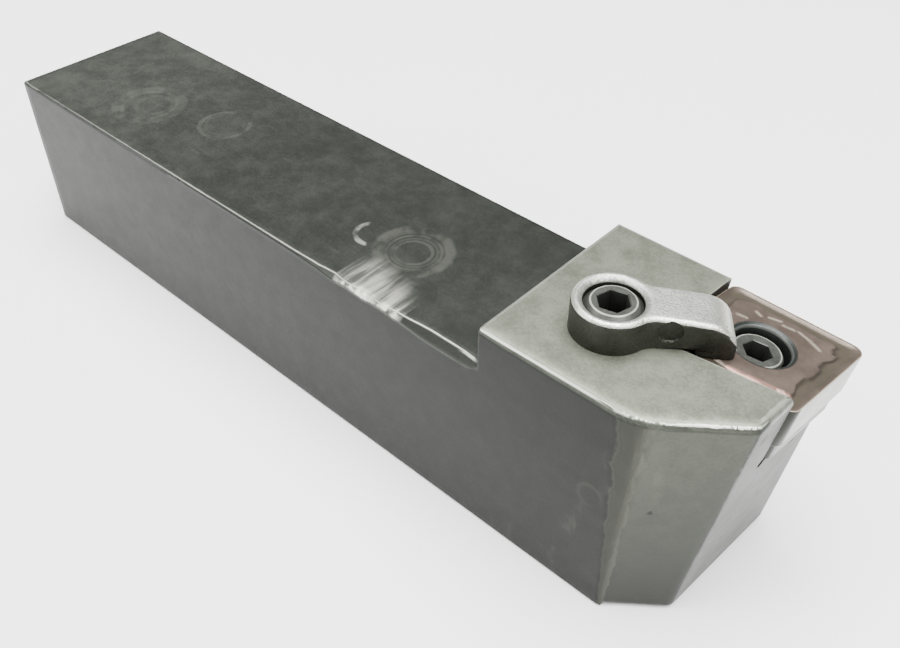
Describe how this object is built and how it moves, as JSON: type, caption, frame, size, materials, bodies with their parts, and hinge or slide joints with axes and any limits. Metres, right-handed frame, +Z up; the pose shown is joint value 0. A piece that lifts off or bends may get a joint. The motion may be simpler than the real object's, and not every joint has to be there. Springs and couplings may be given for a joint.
{
  "type": "turning tool holder",
  "caption": "Square-shank external turning tool holder with a raised head, a tilted rhombic insert on its seat, a lock pin and a screw-held top clamp.",
  "frame": {"origin": "on the underside of the shank, in the middle of the square bar's length and width", "axes": "+X along the shank to the cutting end, +Y to the side where the insert's nose stands out, +Z up"},
  "size_m": [0.155, 0.0351, 0.0436],
  "materials": {
    "holder_steel": "used, oxidised ground steel",
    "seat_carbide": "ground carbide",
    "coated_insert": "coppery brown coated carbide",
    "fastener_steel": "dull grey hardened steel",
    "clamp_steel": "satin forged steel"
  },
  "bodies": {
    "holder": {"holder_body": "holder_steel", "shim_seat": "seat_carbide", "cutting_insert": "coated_insert"},
    "screw": {"clamp_screw": "fastener_steel"},
    "clamp": {"clamp": "clamp_steel"},
    "pin": {"lock_pin": "fastener_steel"}
  },
  "joints": [
    {"name": "clamp_lift", "type": "slide", "parent": "holder", "child": "screw", "axis": [0, 0, 1], "range_m": [0, 0.006]},
    {"name": "clamp_swing", "type": "hinge", "parent": "screw", "child": "clamp", "pos_m": [0.07106, -0.00411, 0.0386], "axis": [0, 0, 1], "range_deg": [-40.5, 0]},
    {"name": "pin_turn", "type": "hinge", "parent": "holder", "child": "pin", "pos_m": [0.08628, 0.0086, 0.03652], "axis": [0.104, 0.104, 0.9891], "continuous": true}
  ],
  "couplings": [
    {"joint": "clamp_swing", "follows": "clamp_lift", "rad_per_m": -116.36}
  ]
}
